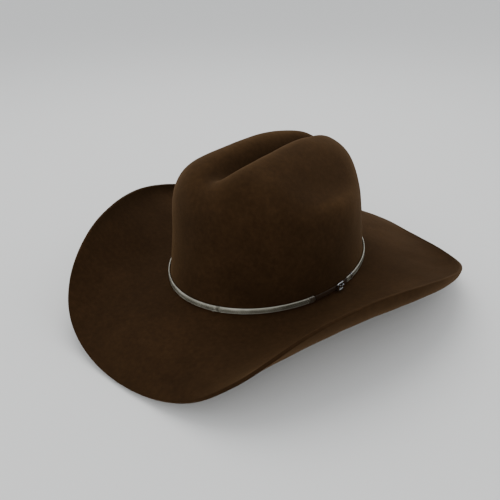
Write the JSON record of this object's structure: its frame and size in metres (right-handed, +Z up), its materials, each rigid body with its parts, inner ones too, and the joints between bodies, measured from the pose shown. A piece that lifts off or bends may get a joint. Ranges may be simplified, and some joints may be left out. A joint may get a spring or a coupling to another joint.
{
  "type": "cowboy hat",
  "caption": "Wide-brimmed western felt hat with creased crown, curled brim, leather sweatband, lining and narrow woven band with a small buckle.",
  "frame": {"origin": "middle of the hat's overall box, on the surface that the front and back of the brim stand on", "axes": "+Z up, -Y the way the wearer faces, +X the wearer's left"},
  "size_m": [0.337, 0.3736, 0.1396],
  "materials": {
    "brown_felt": "soft napped fur felt",
    "sweatband_leather": "smooth vegetable-tanned leather",
    "seam_leather": "smooth skived leather",
    "reed_plastic": "translucent extruded plastic",
    "cotton_tape": "plain-woven cotton tape",
    "linen_thread": "waxed twisted thread",
    "bow_ribbon": "ribbed grosgrain ribbon",
    "satin_lining": "smooth satin weave",
    "satin_piping": "satin-covered cord",
    "clear_film": "clear glossy film",
    "tab_card": "woven label, blank",
    "woven_band": "grey-green metallic weave with pale edges",
    "billet_leather": "dark brown strap leather",
    "pale_metal": "satin plated",
    "silver_metal": "worn bright plating"
  },
  "bodies": {
    "hat": {"felt_body": "brown_felt", "sweatband": "sweatband_leather", "sweatband_reed": "reed_plastic", "reed_tape": "cotton_tape", "sweatband_stitches": "linen_thread", "rear_seam_cover": "seam_leather", "rear_seam_stitches": "linen_thread", "bow_loops": "bow_ribbon", "bow_knot": "bow_ribbon", "bow_tails": "bow_ribbon", "lining_side": "satin_lining", "lining_tip": "satin_lining", "lining_piping": "satin_piping", "tip_shield": "clear_film", "size_tab": "tab_card"},
    "hatband": {"hatband_strip": "woven_band", "hatband_billet": "billet_leather", "hatband_tip": "pale_metal", "buckle_frame": "silver_metal", "buckle_pin": "silver_metal"},
    "prong": {"buckle_prong": "silver_metal"},
    "keeper": {"keeper_loop": "silver_metal"}
  },
  "joints": [
    {"name": "hatband_lift", "type": "slide", "parent": "hat", "child": "hatband", "axis": [0, 0, 1], "range_m": [0, 0.125]},
    {"name": "prong_hinge", "type": "hinge", "parent": "hatband", "child": "prong", "pos_m": [0.08703, -0.01166, 0.02985], "axis": [0.1091, -0.0094, -0.994], "range_deg": [0, 80]},
    {"name": "keeper_slide", "type": "slide", "parent": "hatband", "child": "keeper", "axis": [-0.0713, 0.9975, 0], "range_m": [-0.0015, 0.0015]}
  ]
}
